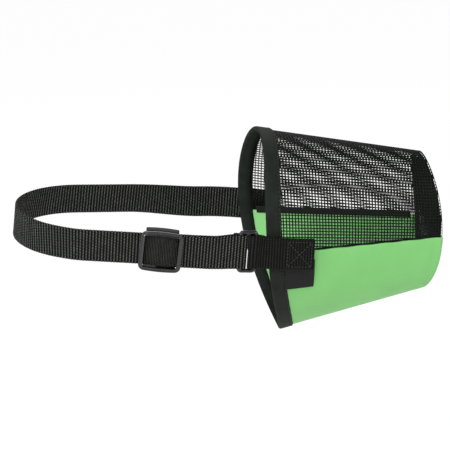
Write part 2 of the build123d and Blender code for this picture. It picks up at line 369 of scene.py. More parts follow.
PLASTIC = Plain("moulded_plastic", (0.005, 0.005, 0.0052, 1), (0.012, 0.012, 0.0125, 1), 0.14, 700.0, 0.015 * MM, 0.2,
                level=0.5)
DULL_PLASTIC = Plain("dull_plastic", (0.004, 0.004, 0.0042, 1), (0.008, 0.008, 0.0085, 1), 0.5, 700.0, 0.02 * MM,
                     level=0.15)
THREAD = Plain("sewing_thread", (0.012, 0.013, 0.012, 1), (0.070, 0.075, 0.068, 1), 0.5, 3000.0, 0.05 * MM, level=0.3)


# ------------------------------------------------------------------ mesh helpers
def clamped(share: float) -> float:
    """The share held between 0 and 1."""
    return min(max(share, 0.0), 1.0)


def eased(share: float) -> float:
    """Eased share from 0 to 1."""
    return share * share * (3 - 2 * share)


def finish_object(name: str, mesh: bmesh.types.BMesh, material: bpy.types.Material, smooth: bool = True,
                  wall: float = 0.0) -> bpy.types.Object:
    """Turn a bmesh into an object at the origin.

    Args:
        name: The piece's name.
        mesh: Its shape, already in place.
        material: Its finish.
        smooth: Whether its faces shade smoothly.
        wall: Thickness given to a sheet, inward from its faces.

    Returns:
        The new object.
    """
    data = bpy.data.meshes.new(name)
    mesh.to_mesh(data)
    mesh.free()
    data.materials.append(material)
    for polygon in data.polygons:
        polygon.use_smooth = smooth
    made = bpy.data.objects.new(name, data)
    bpy.context.scene.collection.objects.link(made)
    if wall:
        solid = made.modifiers.new("wall", "SOLIDIFY")
        solid.thickness, solid.offset = wall, -1.0
    return made


def cloth_grid(columns: int, rows: int, place: Callable[[float, float], Vector],
               size: tuple[float, float]) -> bmesh.types.BMesh:
    """A grid of cloth laid on a surface, with UVs in metres.

    Args:
        columns: Cells along the first direction.
        rows: Cells along the second.
        place: Surface point for shares from 0 to 1 of both directions.
        size: Cloth length in both directions, in metres.

    Returns:
        The grid.
    """
    mesh = bmesh.new()
    uv = mesh.loops.layers.uv.new("cloth")
    bmesh.ops.create_grid(mesh, x_segments=columns, y_segments=rows, size=0.5, calc_uvs=False)
    for face in mesh.faces:
        for loop in face.loops:
            across, along = loop.vert.co.x + 0.5, loop.vert.co.y + 0.5
            loop[uv].uv = (across * size[0], along * size[1])
    for vert in mesh.verts:
        vert.co = place(vert.co.x + 0.5, vert.co.y + 0.5)
    return mesh


def face_outward(mesh: bmesh.types.BMesh, middle: Vector) -> None:
    """Turn a sheet's faces away from a point inside the basket."""
    bmesh.ops.recalc_face_normals(mesh, faces=mesh.faces[:])
    votes = sum(1 if face.normal.dot(face.calc_center_median() - middle) > 0 else -1 for face in mesh.faces)
    if votes < 0:
        bmesh.ops.reverse_faces(mesh, faces=mesh.faces[:])


def wrapped_grid(columns: int, rows: int, place: Callable[[int, int], Vector],
                 cloth: Callable[[int, int], tuple[float, float]]) -> bmesh.types.BMesh:
    """A grid whose last row meets its first, as a tube round a profile.

    Args:
        columns: Cells along the tube.
        rows: Cells round the profile.
        place: Point for a column and row number.
        cloth: UV, in metres, for a column and row number.

    Returns:
        The closed tube.
    """
    mesh = bmesh.new()
    uv = mesh.loops.layers.uv.new("cloth")
    bmesh.ops.create_grid(mesh, x_segments=columns, y_segments=rows, size=0.5)
    spot = {vert: (round((vert.co.x + 0.5) * columns), round((vert.co.y + 0.5) * rows)) for vert in mesh.verts}
    for face in mesh.faces:
        for loop in face.loops:
            loop[uv].uv = cloth(*spot[loop.vert])
    for vert, (column, row) in spot.items():
        vert.co = place(column, row)
    bmesh.ops.remove_doubles(mesh, verts=mesh.verts[:], dist=0.002 * MM)
    bmesh.ops.holes_fill(mesh, edges=[edge for edge in mesh.edges if edge.is_boundary])
    bmesh.ops.recalc_face_normals(mesh, faces=mesh.faces[:])
    return mesh


@dataclass
class Route:
    """A strip's middle line: points with the direction across the strip at each."""

    points: list[Vector] = field(default_factory=list)
    across: list[Vector] = field(default_factory=list)

    def add(self, point: Vector, across: Vector) -> None:
        """Add one point."""
        self.points.append(point)
        self.across.append(across)

    def even(self, step: float, reach: int = 3) -> tuple[list[Vector], list[Vector]]:
        """The line at even steps, with its corners eased.

        Args:
            step: Distance between two points.
            reach: How many neighbours each point is averaged with, to both sides.

        Returns:
            Points and directions across.
        """
        travelled = [0.0]
        for first, second in zip(self.points, self.points[1:]):
            travelled.append(travelled[-1] + (second - first).length)
        total = round(travelled[-1] / step)
        points, across, index = [], [], 0
        for k in range(total + 1):
            distance = travelled[-1] * k / total
            while index < len(travelled) - 2 and travelled[index + 1] < distance:
                index += 1
            share = (distance - travelled[index]) / max(travelled[index + 1] - travelled[index], 1e-9)
            points.append(self.points[index].lerp(self.points[index + 1], share))
            across.append(self.across[index].lerp(self.across[index + 1], share).normalized())
        eased = []
        for k in range(len(points)):
            near = min(reach, k, len(points) - 1 - k)
            window = points[k - near:k + near + 1]
            eased.append(sum(window, Vector()) / len(window))
        return eased, across


def woven_strip(name: str, route: Route, width: float, thickness: float, material: bpy.types.Material,
                reach: int = 3, relief: float = 0.16 * MM) -> bpy.types.Object:
    """Webbing along a route, with ribs raised across it.

    Args:
        name: The piece's name.
        route: Its middle line.
        width: Webbing width.
        thickness: Webbing thickness.
        material: Its finish.
        reach: How far the route's corners are eased.
        relief: How far a rib stands up.

    Returns:
        The strip.
    """
    step = RIB_PITCH / 4
    points, ups = route.even(step, reach)
    half, deep = width / 2, thickness / 2
    side = [(-half, -0.35 * deep), (-half + 0.35 * deep, -0.8 * deep), (-half + 0.9 * deep, -deep)]
    side += [(-half + width * k / 6, -deep) for k in range(1, 6)]
    side += [(half - 0.9 * deep, -deep), (half - 0.35 * deep, -0.8 * deep), (half, -0.35 * deep)]
    profile = side + [(-a, -b) for a, b in side]
    count, last = len(profile), len(points) - 1
    outs = []
    for k in range(len(points)):
        ahead = points[min(k + 2, last)] - points[max(k - 2, 0)]
        outs.append(ahead.normalized().cross(ups[k]).normalized())

    def place(column: int, row: int) -> Vector:
        """Point of the ribbed surface."""
        a, b = profile[row % count]
        rib = 0.5 + 0.5 * math.cos(2 * math.pi * column * step / RIB_PITCH)
        scallop = (rib - 0.5) * 0.3 * MM * a / half
        return points[column] + ups[column] * (a + scallop) + outs[column] * (b * (1 + (rib - 0.5) * relief / deep))

    mesh = wrapped_grid(last, count, place, lambda column, row: (column * step, profile[row % count][0]))
    return finish_object(name, mesh, material)


def rounded_loop(half_x: float, half_y: float, radius: float, steps: int) -> list[tuple[Vector, Vector]]:
    """Points round a rounded rectangle, the last the same as the first.

    Args:
        half_x: Half its length.
        half_y: Half its height.
        radius: Corner radius.
        steps: Cells in one corner.

    Returns:
        Points, each with its inward direction.
    """
    corners = ((1, -1), (1, 1), (-1, 1), (-1, -1))
    loop: list[tuple[Vector, Vector]] = []
    for index, (sx, sy) in enumerate(corners):
        centre = Vector((sx * (half_x - radius), sy * (half_y - radius), 0))
        for k in range(steps + 1):
            angle = math.pi / 2 * (index - 1 + k / steps)
            inward = -Vector((math.cos(angle), math.sin(angle), 0))
            loop.append((centre - inward * radius, inward))
        start, inward = loop[-1]
        nx, ny = corners[(index + 1) % 4]
        finish = Vector((nx * (half_x - radius), ny * (half_y - radius), 0)) - inward * radius
        loop += [(start.lerp(finish, k / 10), inward) for k in range(1, 10)]
    return [*loop, loop[0]]


def stitch_run(mesh: bmesh.types.BMesh, points: Sequence[tuple[Vector, Vector]], length: float, gap: float,
               width: float, lift: float) -> None:
    """Lay stitches end to end along a line on a surface.

    Args:
        mesh: Where the stitches go.
        points: Points of the line, each with the surface's outward direction.
        length: One stitch's length.
        gap: Space between two stitches.
        width: Thread thickness.
        lift: How far the thread's middle stands off the surface.
    """
    travelled = [0.0]
    for (a, _), (b, _) in zip(points, points[1:]):
        travelled.append(travelled[-1] + (b - a).length)

    def at(distance: float) -> tuple[Vector, Vector]:
        """Point and outward direction at a distance along the line."""
        for index in range(len(points) - 1):
            if distance <= travelled[index + 1] or index == len(points) - 2:
                step = travelled[index + 1] - travelled[index]
                share = min(max((distance - travelled[index]) / max(step, 1e-9), 0.0), 1.0)
                return (points[index][0].lerp(points[index + 1][0], share),
                        points[index][1].lerp(points[index + 1][1], share).normalized())
        return points[-1]

    start = gap / 2
    while start + length < travelled[-1]:
        (a, normal), (b, _) = at(start), at(start + length)
        ahead = (b - a).normalized()
        side = normal.cross(ahead).normalized()
        middle = (a + b) / 2 + normal * lift
        basis = Matrix((ahead, side, normal)).transposed().to_4x4()
        scale = Matrix.Diagonal((length / 2, width / 2, width / 2, 1))
        bmesh.ops.create_icosphere(mesh, subdivisions=1, radius=1.0,
                                   matrix=Matrix.Translation(middle) @ basis @ scale)
        start += length + gap


# ------------------------------------------------------------------ the basket
@dataclass
class Basket:
    """The sewn basket: a tapering teardrop tube with a curved rim and a curved nose."""

    length: float = 144.0
    opening: tuple[float, float, float, float] = (83.0, -87.0, 58.0, 14.0)
    nose: tuple[float, float, float, float] = (52.5, -58.7, 30.0, 6.0)
    rim_sweep: tuple[float, float] = (287.5, 21.3)
    nose_sweep: tuple[float, float] = (237.0, -11.3)
    sheet: float = 1.2
    seam_height: float = 0.5
    seam_slope: float = math.tan(math.radians(3.3))
    mesh_pitch: float = 2.4
    mesh_hole: float = 1.3
    mesh_reference: float = 0.42
    hood_start: float = 3.0
    hood_inset: float = 0.3
    hem_reach: tuple[tuple[float, float], tuple[float, float]] = ((-6.0, 0.9), (-2.2, 3.4))
    middle: Vector = field(default_factory=lambda: Vector((0.07, 0.0, 0.01)))

    def section(self, station: float, share: float, inset: float) -> tuple[float, float]:
        """Point (y, z) of the outline at a station, in millimetres.

        Args:
            station: Distance from the opening towards the nose.
            share: -1 at the crease, 0 at the near side's widest, 1 at the top; the near side only.
            inset: Distance inside the outer skin.

        Returns:
            Half-width and height.
        """
        part = station / self.length
        top, bottom, width, widest = (a + (b - a) * part for a, b in zip(self.opening, self.nose))
        top, bottom, width = top - inset, bottom + 1.1 * inset, width - inset
        t = abs(share)
        if share >= 0:
            corners = ((width, widest), (width, widest + 0.55 * (top - widest)), (0.55 * width, top), (0.0, top))
        else:
            drop = widest - bottom
            corners = ((width, widest), (width, widest - 0.45 * drop),
                       (0.66 * width, bottom + 0.17 * drop), (0.0, bottom))
        weights = ((1 - t) ** 3, 3 * t * (1 - t) ** 2, 3 * t * t * (1 - t), t ** 3)
        return (sum(w * c[0] for w, c in zip(weights, corners)), sum(w * c[1] for w, c in zip(weights, corners)))

    def rim_x(self, height: float, depth: float = 0.0) -> float:
        """Station of the rim line at a height."""
        radius = self.rim_sweep[0]
        return radius - math.sqrt((radius - depth) ** 2 - (height - self.rim_sweep[1]) ** 2)

    def nose_x(self, height: float, depth: float = 0.0) -> float:
        """Station of the nose line at a height."""
        radius = self.nose_sweep[0]
        return self.length - radius + math.sqrt((radius - depth) ** 2 - (height - self.nose_sweep[1]) ** 2)

    def skin(self, along: float, around: float, inset: float, rim_depth: float = 0.0,
             nose_depth: float = 0.0) -> Vector:
        """Point of the skin, in metres.

        Args:
            along: 0 at the rim, 1 at the nose.
            around: -2 near-side crease, -1 near widest, 0 top, 1 far widest, 2 far crease.
            inset: Distance inside the outer skin.
            rim_depth: How far ahead of the rim line the stretch starts.
            nose_depth: How far behind the nose line it ends.

        Returns:
            The point.
        """
        side = -1 if around < 0 else 1
        share = 1 - abs(around)
        station = self.length * along
        for _ in range(3):
            _, height = self.section(station, share, inset)
            start, end = self.rim_x(height, rim_depth), self.nose_x(height, nose_depth)
            station = start + (end - start) * along
        half, height = self.section(station, share, inset)
        return Vector((station, side * half, height)) * MM

    def seam_around(self, along: float, offset: float = 0.0) -> float:
        """Share around the section, on the far side, at which the sheets' seam lies."""
        low, high = 0.6, 1.6
        for _ in range(22):
            middle = (low + high) / 2
            point = self.skin(along, middle, 0.0) / MM
            wanted = self.seam_height + offset - self.seam_slope * point.x
            low, high = (middle, high) if point.z > wanted else (low, middle)
        return (low + high) / 2

    def outward(self, along: float, around: float) -> Vector:
        """Outward direction of the skin."""
        step = 0.004
        a = self.skin(along, around + step, 0) - self.skin(along, around - step, 0)
        b = self.skin(min(along + step, 1), around, 0) - self.skin(max(along - step, 0), around, 0)
        normal = a.cross(b).normalized()
        middle = self.skin(along, around, 0)
        return normal if normal.dot(Vector((0, middle.y, middle.z - 0.002))) > 0 else -normal

    def open_mesh(self, mesh: bmesh.types.BMesh, hole: float) -> None:
        """Cut a hole in every whole cell of a grid; cells cut short by an edge get smaller ones.

        Args:
            mesh: The grid.
            hole: Side of a whole cell's hole, in millimetres.
        """
        whole = (self.mesh_pitch * MM) ** 2
        cells = {share: [face for face in mesh.faces if low <= face.calc_area() / whole < high]
                 for low, high, share in ((0.82, 9.0, 1.0), (0.6, 0.82, 0.75), (0.38, 0.6, 0.5))}
        for share, faces in cells.items():
            if faces:
                bmesh.ops.inset_individual(mesh, faces=faces, thickness=(self.mesh_pitch - hole) / 2 * MM * share,
                                           depth=0.0, use_even_offset=False)
        bmesh.ops.delete(mesh, geom=[face for faces in cells.values() for face in faces], context="FACES")
        face_outward(mesh, self.middle)

    def flat_rows(self, station: float, count: int = 48) -> tuple[list[float], list[float]]:
        """Lengths up the side from the reference height, with the share around at each."""
        shares = [-0.35 + 1.35 * k / count for k in range(count + 1)]
        spots = [self.section(station, share, self.hood_inset) for share in shares]
        lengths = [0.0]
        for (y0, z0), (y1, z1) in zip(spots, spots[1:]):
            lengths.append(lengths[-1] + math.hypot(y1 - y0, z1 - z0))
        zero = next(k for k, share in enumerate(shares) if share >= self.mesh_reference)
        return [length - lengths[zero] for length in lengths], shares

    def hood(self, material: bpy.types.Material) -> bpy.types.Object:
        """The mesh over the top and sides: even square cells, cut by the rim, nose and side seams."""
        columns = math.ceil((self.length - 4.0) / self.mesh_pitch)
        tables = [self.flat_rows(self.hood_start + k * self.mesh_pitch) for k in range(columns + 1)]
        low = min(lengths[0] for lengths, _ in tables)
        high = max(lengths[-1] for lengths, _ in tables)
        first, last = math.floor(low / self.mesh_pitch), math.ceil(high / self.mesh_pitch)
        mesh = bmesh.new()
        for side in Side:
            half = bmesh.new()
            bmesh.ops.create_grid(half, x_segments=columns, y_segments=last - first, size=0.5)
            for vert in half.verts:
                column = round((vert.co.x + 0.5) * columns)
                row = first + round((vert.co.y + 0.5) * (last - first))
                lengths, shares = tables[column]
                reach = min(max(row * self.mesh_pitch, lengths[0]), lengths[-1])
                index = min(max(bisect.bisect_left(lengths, reach), 1), len(lengths) - 1)
                part = (reach - lengths[index - 1]) / (lengths[index] - lengths[index - 1])
                share = shares[index - 1] + (shares[index] - shares[index - 1]) * part
                station = self.hood_start + column * self.mesh_pitch
                seam = self.seam_height + 0.4 - self.seam_slope * station
                y, z = self.section(station, share, self.hood_inset)
                if z < seam:
                    share = self.share_at(station, seam)
                    y, z = self.section(station, share, self.hood_inset)
                edge = min(max(station, self.rim_x(z) + 2.0), self.nose_x(z) - 0.4)
                y, z = self.section(edge, share, self.hood_inset)
                vert.co = Vector((edge, side.value * y, z)) * MM
            bmesh.ops.dissolve_degenerate(half, dist=0.05 * MM, edges=half.edges[:])
            part_data = bpy.data.meshes.new("hood_half")
            half.to_mesh(part_data)
            half.free()
            mesh.from_mesh(part_data)
            bpy.data.meshes.remove(part_data)
        bmesh.ops.remove_doubles(mesh, verts=mesh.verts[:], dist=0.06 * MM)
        self.open_mesh(mesh, self.mesh_hole)
        made = finish_object("mesh_hood_cloth", mesh, material, smooth=False, wall=0.5 * MM)
        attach(made, "basket")
        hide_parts("mesh_hood")
        return made

    def share_at(self, station: float, height: float) -> float:
        """Share around the near side at which the outline passes a height."""
        low, high = -0.9, 0.9
        for _ in range(22):
            middle = (low + high) / 2
            low, high = (middle, high) if self.section(station, middle, self.hood_inset)[1] < height else (low, middle)
        return (low + high) / 2

    def nose_panel(self, material: bpy.types.Material) -> bpy.types.Object:
        """The mesh that closes the nose, cut from a grid to the nose outline."""
        mesh = bmesh.new()
        mesh.loops.layers.uv.new("cloth")
        top, bottom, width, _ = self.nose
        rows = round((top - bottom) / self.mesh_pitch) + 1
        columns = round(2 * width / self.mesh_pitch) + 1
        bmesh.ops.create_grid(mesh, x_segments=columns, y_segments=rows, size=0.5)
        outline = [self.section(self.length - 1.0, k / 40 - 1, self.sheet + 0.3) for k in range(81)]

        def half_width(height: float) -> float:
            """Half-width of the nose outline at a height."""
            for (y0, z0), (y1, z1) in zip(outline, outline[1:]):
                if z0 <= height <= z1:
                    return y0 + (y1 - y0) * (height - z0) / max(z1 - z0, 1e-6)
            return 0.0

        low, high = outline[0][1], outline[-1][1]
        for vert in mesh.verts:
            y = vert.co.x * columns * self.mesh_pitch
            z = low + (vert.co.y + 0.5) * (high - low)
            vert.co = Vector((0, y, z))
        gone = [f for f in mesh.faces if min(
            half_width(v.co.z) + 0.9 * self.mesh_pitch - abs(v.co.y) for v in f.verts) < 0]
        bmesh.ops.delete(mesh, geom=gone, context="FACES")
        bulge = 2.5
        for vert in mesh.verts:
            limit = half_width(vert.co.z)
            vert.co.y = max(-limit, min(limit, vert.co.y))
            share = vert.co.y / max(limit, 1e-6)
            reach = self.nose_x(vert.co.z) - 0.9 - bulge * 0.2 * share * share
            vert.co = Vector((reach, vert.co.y, vert.co.z)) * MM
        self.open_mesh(mesh, self.mesh_hole)
        made = finish_object("nose_panel_cloth", mesh, material, smooth=False, wall=0.55 * MM)
        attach(made, "basket")
        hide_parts("nose_panel")
        return made

    def shell(self, material: bpy.types.Material, backing: bpy.types.Material) -> bpy.types.Object:
        """The coated lower shell: two sides that meet in the bottom crease.

        Args:
            material: Finish of the coated face.
            backing: Finish of the uncoated inner face, partly its own lighter green and partly painted light inside
                the basket.

        Returns:
            The shell.
        """
        def place(a: float, b: float) -> Vector:
            """Surface point for a grid share."""
            side = b * 2 - 1
            edge = self.seam_around(a, -0.1)
            around = edge + (2 - edge) * (1 - abs(side))
            point = self.skin(a, around, 0.0)
            pucker = 0.35 * MM * math.sin(a * 46.0 + 3 * side) * abs(side) ** 14
            pucker += 0.45 * MM * math.exp(-((a - 0.955) / 0.018) ** 2)
            dip = 0.30 * MM * math.sin(a * 9.0 + side * 4) * math.sin(math.pi * abs(side))
            out = Vector((0, 1, -0.45)).normalized()
            point = point - out * (pucker + max(dip, 0))
            return Vector((point.x, -point.y if side < 0 else point.y, point.z))

        mesh = cloth_grid(96, 96, place, (self.length * MM, 0.17))
        face_outward(mesh, self.middle)
        made = finish_object("lower_shell_cloth", mesh, material, wall=0.9 * MM)
        made.data.materials.append(backing)
        made.modifiers["wall"].material_offset = 1
        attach(made, "basket")
        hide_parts("lower_shell")
        return made

    def binding(self, material: bpy.types.Material, thread: bpy.types.Material) -> bpy.types.Object:
        """The tape folded over the rim, with a row of stitches near its front edge."""
        width = 11.0
        inner = 8.6
        profile = [(width, -0.35), (width - 0.4, -0.9), (width * 0.66, -1.0), (width * 0.33, -1.0), (1.0, -1.0),
                   (-0.3, -0.75), (-1.0, 0.0), (-1.1, 0.6), (-1.0, 1.2), (-0.3, 1.95), (1.0, 2.2),
                   (inner * 0.5, 2.2), (inner - 0.4, 2.1), (inner, 1.4)]
        around_cells = 150
        count = len(profile)

        def place(column: int, row: int) -> Vector:
            """Point of the folded tape."""
            around = -2 + 4 * column / around_cells
            depth, inset = profile[row % count]
            side, share, station = (-1 if around < 0 else 1), 1 - abs(around), depth
            for _ in range(3):
                _, height = self.section(station, share, inset)
                station = self.rim_x(height) + depth
            half, height = self.section(station, share, inset)
            pull = 0.07 * math.sin(column * 1.7) * (1.0 if depth > 8 else 0.25)
            return Vector((station + pull, side * max(half, 0.0), height)) * MM

        mesh = wrapped_grid(around_cells, count, place,
                            lambda column, row: (column * 3.0 * MM, profile[row % count][0] * MM))
        made = finish_object("rim_binding_tape", mesh, material)
        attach(made, "basket")
        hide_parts("rim_binding")
        rows = bmesh.new()
        for side in (-1, 1):
            line = []
            for k in range(120):
                around = side * (0.02 + 1.96 * k / 119)
                share = 1 - abs(around)
                station = 9.6
                for _ in range(3):
                    _, height = self.section(station, share, -1.0)
                    station = self.rim_x(height) + 9.6
                half, height = self.section(station, share, -1.0)
                normal = self.outward(0.06, around)
                line.append((Vector((station, side * half, height)) * MM, normal))
            stitch_run(rows, line, 2.4 * MM, 0.8 * MM, 0.42 * MM, 0.08 * MM)
        stitches = finish_object("rim_binding_stitches", rows, thread)
        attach(stitches, "basket")
        return made

    def inner_strip(self, name: str, node: str, material: bpy.types.Material,
                    place: Callable[[float, float], Vector], cells: tuple[int, int],
                    size: tuple[float, float]) -> bpy.types.Object:
        """A thin tape sewn inside the basket."""
        mesh = cloth_grid(cells[0], cells[1], place, size)
        face_outward(mesh, self.middle)
        made = finish_object(name, mesh, material, wall=0.5 * MM)
        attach(made, "basket")
        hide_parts(node)
        return made

    def label(self, material: bpy.types.Material) -> None:
        """The bare label that hangs from under the sewn tab against the shell."""
        back, width, top, bottom = 13.4, 23.8, -9.0, -31.4

        def place(a: float, b: float) -> Vector:
            """Point of the label for shares forward and up."""
            x = back + width * a
            low = bottom - 1.4 * a
            z = low + (top - low) * b
            low_share, high_share = -0.9, 0.9
            for _ in range(20):
                share = (low_share + high_share) / 2
                low_share, high_share = ((share, high_share) if self.section(x, share, 0.0)[1] < z
                                         else (low_share, share))
            half, _ = self.section(x, share, 0.0)
            lift = 1.25 + 0.5 * (1 - b) * math.sin(math.pi * (0.15 + 0.7 * a))
            return Vector((x, -(half + lift), z)) * MM

        mesh = cloth_grid(26, 26, place, (width * MM, (top - bottom) * MM))
        face_outward(mesh, self.middle)
        made = finish_object("label_patch_cloth", mesh, material, wall=0.8 * MM)
        soft = made.modifiers.new("edges", "BEVEL")
        soft.width, soft.segments, soft.limit_method, soft.angle_limit = 0.25 * MM, 2, "ANGLE", math.radians(50)
        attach(made, "basket")
        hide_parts("label_patch")

    def tapes(self, material: bpy.types.Material) -> None:
        """Seam tapes along both sides, the bottom crease and the nose."""
        lining = self.sheet + 0.35
        for side in Side:
            def hem(a: float, b: float, sign: int = side.value) -> Vector:
                """Point of a side hem tape."""
                along = 0.085 + a * 0.855
                low, high = self.hem_reach[sign > 0]
                return self.skin(along, sign * self.seam_around(along, low + (high - low) * b), lining)

            name = f"hem_tape_{side.name.lower()}"
            self.inner_strip(name + "_strip", name, material, hem, (60, 4), (0.12, 0.008))

        def keel(a: float, b: float) -> Vector:
            """Point of the bottom crease tape."""
            side = b * 2 - 1
            point = self.skin(0.10 + a * 0.84, 2 - 0.085 * abs(side), lining)
            return Vector((point.x, math.copysign(point.y, side), point.z))

        self.inner_strip("keel_tape_strip", "keel_tape", material, keel, (60, 8), (0.12, 0.012))

        def nose(a: float, b: float) -> Vector:
            """Point of the tape round the nose seam."""
            around = -2 + 4 * a
            return self.skin(0.966 + 0.026 * b, around, lining)

        self.inner_strip("nose_seam_strip", "nose_seam_tape", material, nose, (140, 3), (0.3, 0.008))


# ------------------------------------------------------------------ the webbing
@dataclass
class Harness:
    """Neck strap, sewn tab, keeper ring and slider, drawn in the strap's tilted plane."""

    axis: tuple[float, float] = (-5.0, 5.6)
    tilt: float = math.radians(6.0)
    width: float = 25.4
    ply: float = 1.4
    side_slope: float = 28.0 / 144.0
    near_offset: float = 58.0 + 28.0 / 144.0 * 5.0 + 1.0 + 0.4 + 1.4
    far_offset: float = 58.0 + 28.0 / 144.0 * 5.0 + 1.0 + 0.4 + 0.7
    rear_radius: float = 51.5
    reach: float = 173.0
    bar_offset: float = 6.0
    ring_rail: float = 3.2
    ring_pitch: float = 11.2
    slider_distance: float = 58.0
    slider_size: tuple[float, float, float] = (31.0, 32.6, 1.0)
    tab_tilt: float = math.radians(10.0)
    lean: float = math.radians(9.0)
    far_lean: float = math.radians(13.0)
    far_rise: float = 3.4
    rear_stretch: float = 5.0
    fold_reach: float = 4.6
    eye_reach: float = 5.0
    slider_drop: float = 0.3
    tab_lean: float = math.radians(7.0)
    tab_shear: float = math.radians(1.0)
    tab_drop: float = 1.8
    tab_bend: tuple[float, float] = (-4.0, 8.0)
    tab_sewn: float = 41.0
    far_sewn: float = 36.0
    ply_half_gap: float = 0.72
    stitch_margin: float = 2.6
    stitch_box: float = 19.0
    near_drop: float = 2.1
    fade_reach: float = 22.0
    lean_fade: float = 20.0
    rise_start: float = 42.0
    rise_length: float = 32.0
    rise_share: float = 0.6

    def point(self, x: float, y: float, up: float = 0.0) -> Vector:
        """Place, in metres, of a point of the strap's plane."""
        c, s = math.cos(self.tilt), math.sin(self.tilt)
        return Vector((self.axis[0] + c * x + s * up, y, self.axis[1] - s * x + c * up)) * MM

    @property
    def up(self) -> Vector:
        """Direction across the strap's width."""
        return Vector((math.sin(self.tilt), 0, math.cos(self.tilt)))

    def run_angle(self, x: float, y: float) -> float:
        """Angle of the straight side that leaves a point and touches the rear bend."""
        away = math.hypot(x - self.rear_x, y)
        return math.atan2(y, x - self.rear_x) - math.asin(self.rear_radius / away)

    @property
    def rear_x(self) -> float:
        """Centre of the rear bend."""
        return self.rear_radius - self.reach

    @property
    def near_start(self) -> tuple[float, float]:
        """Where the outer ply meets the ring's rear bar."""
        return (-self.bar_offset - self.ring_pitch,
                -self.near_offset - self.side_slope * self.bar_offset - self.ply / 2 - 0.3 - 1.6)

    def run(self, along: float, out: float) -> tuple[float, float]:
        """Plane point at a distance along the near side from the ring and a distance outward."""
        x, y = self.near_start
        angle = self.run_angle(x, -y)
        return (x + along * math.cos(angle) - out * math.sin(angle),
                y - along * math.sin(angle) - out * math.cos(angle))

    def lean_at(self, along: float) -> float:
        """How far the strap leans, in radians, at a distance along the near side from the ring."""
        return self.lean * eased(clamped(-along / self.lean_fade))

    def drop_at(self, along: float) -> float:
        """How far the near strap hangs below its plane at a distance along it from the ring."""
        rise = eased(clamped((-along - self.rise_start) / self.rise_length))
        return -self.near_drop * eased(clamped(-along / self.fade_reach)) * (1 - self.rise_share * rise)

    def leaned(self, ahead: Vector, lean: float) -> Vector:
        """Direction across the strap where its upper edge leans outwards."""
        return (Matrix.Rotation(lean, 3, ahead.normalized()) @ self.up).normalized()

    def slider_frame(self) -> Matrix:
        """Frame of the slider's middle: forward along the strap, up, outward."""
        first, second = (self.point(*self.run(-self.slider_distance + k, 0.0), self.drop_at(-self.slider_distance + k))
                         for k in (-14, 14))
        ahead = (second - first).normalized()
        up = self.near_up(-self.slider_distance)
        up = (up - ahead * up.dot(ahead)).normalized()
        basis = Matrix((ahead, up, ahead.cross(up))).transposed().to_4x4()
        return Matrix.Translation((first + second) / 2 - up * self.slider_drop * MM) @ basis

    def near_up(self, along: float) -> Vector:
        """Direction across the near strap at a distance along it from the ring."""
        first, second = (self.point(*self.run(along + k, 0.0)) for k in (-1, 1))
        return self.leaned(second - first, self.lean_at(along))

    def strap_route(self) -> Route:
        """The strap from its sewn far end round to the fold at the ring."""
        flat: list[tuple[float, float, float, float]] = []
        corner = (-12.0, self.far_offset + self.side_slope * 12.0)
        far_angle = self.run_angle(*corner)
        blend = 14.0
        for k in range(20):
            x = 34.0 - k * (34.0 + 12.0 - blend) / 20
            flat.append((x, self.far_offset - self.side_slope * x, 0.0, 0.0))
        start = (corner[0] + blend, corner[1] - self.side_slope * blend)
        end = (corner[0] - blend * math.cos(far_angle), corner[1] - blend * math.sin(far_angle))
        for k in range(13):
            t = k / 12
            flat.append((*((1 - t) ** 2 * a + 2 * t * (1 - t) * c + t * t * b
                           for a, c, b in zip(start, corner, end)), 0.0, 0.0))
        touch = (self.rear_x - self.rear_radius * math.sin(far_angle), self.rear_radius * math.cos(far_angle))
        for k in range(1, 40):
            share = eased(min(k / 24, 1.0))
            flat.append((*(a + (b - a) * k / 40 for a, b in zip(end, touch)), self.far_rise * share,
                         -self.far_lean * share))
        near_angle = self.run_angle(self.near_start[0], -self.near_start[1])
        first, last = math.pi / 2 + far_angle, 3 * math.pi / 2 - near_angle
        for k in range(61):
            t = k / 60
            angle = first + (last - first) * t
            stretch = self.rear_stretch * math.sin(math.pi * min(t * 1.15, 1.0)) ** 0.8
            fade = eased(t)
            rise = self.far_rise * (1 - fade) - (1 - self.rise_share) * self.near_drop * fade
            flat.append((self.rear_x + self.rear_radius * math.cos(angle) - stretch,
                         self.rear_radius * math.sin(angle), rise,
                         -self.far_lean * (1 - fade) + self.lean * fade))
        bend_end = flat[-1]
        for k in range(1, 50):
            x, y = (a + (b - a) * k / 50 for a, b in zip(bend_end, self.near_start))
            along = -math.dist((x, y), self.near_start)
            flat.append((x, y, self.drop_at(along), self.lean_at(along)))
        fold = 3.4
        for k in range(15):
            angle = math.pi * k / 14
            flat.append((*self.run(self.fold_reach * math.sin(angle), -fold * (1 - math.cos(angle))), 0.0, 0.0))
        for k in range(1, 4):
            flat.append((*self.run(-1.8 * k, -2 * fold), 0.0, 0.0))
        route = Route()
        for index, (x, y, rise, lean) in enumerate(flat):
            ahead = (self.point(*flat[min(index + 1, len(flat) - 1)][:2]) - self.point(*flat[max(index - 1, 0)][:2]))
            sign = -1.0 if lean < 0 else 1.0
            route.add(self.point(x, y, rise), self.leaned(ahead, sign * abs(lean)) if lean else self.up)
        return route

    def strap(self, material: bpy.types.Material) -> None:
        """The neck strap, from its sewn far end to the fold round the ring."""
        made = woven_strip("neck_strap_webbing", self.strap_route(), self.width * MM, self.ply * MM, material)
        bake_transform(made)
        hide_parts("neck_strap", "far_strap_end")

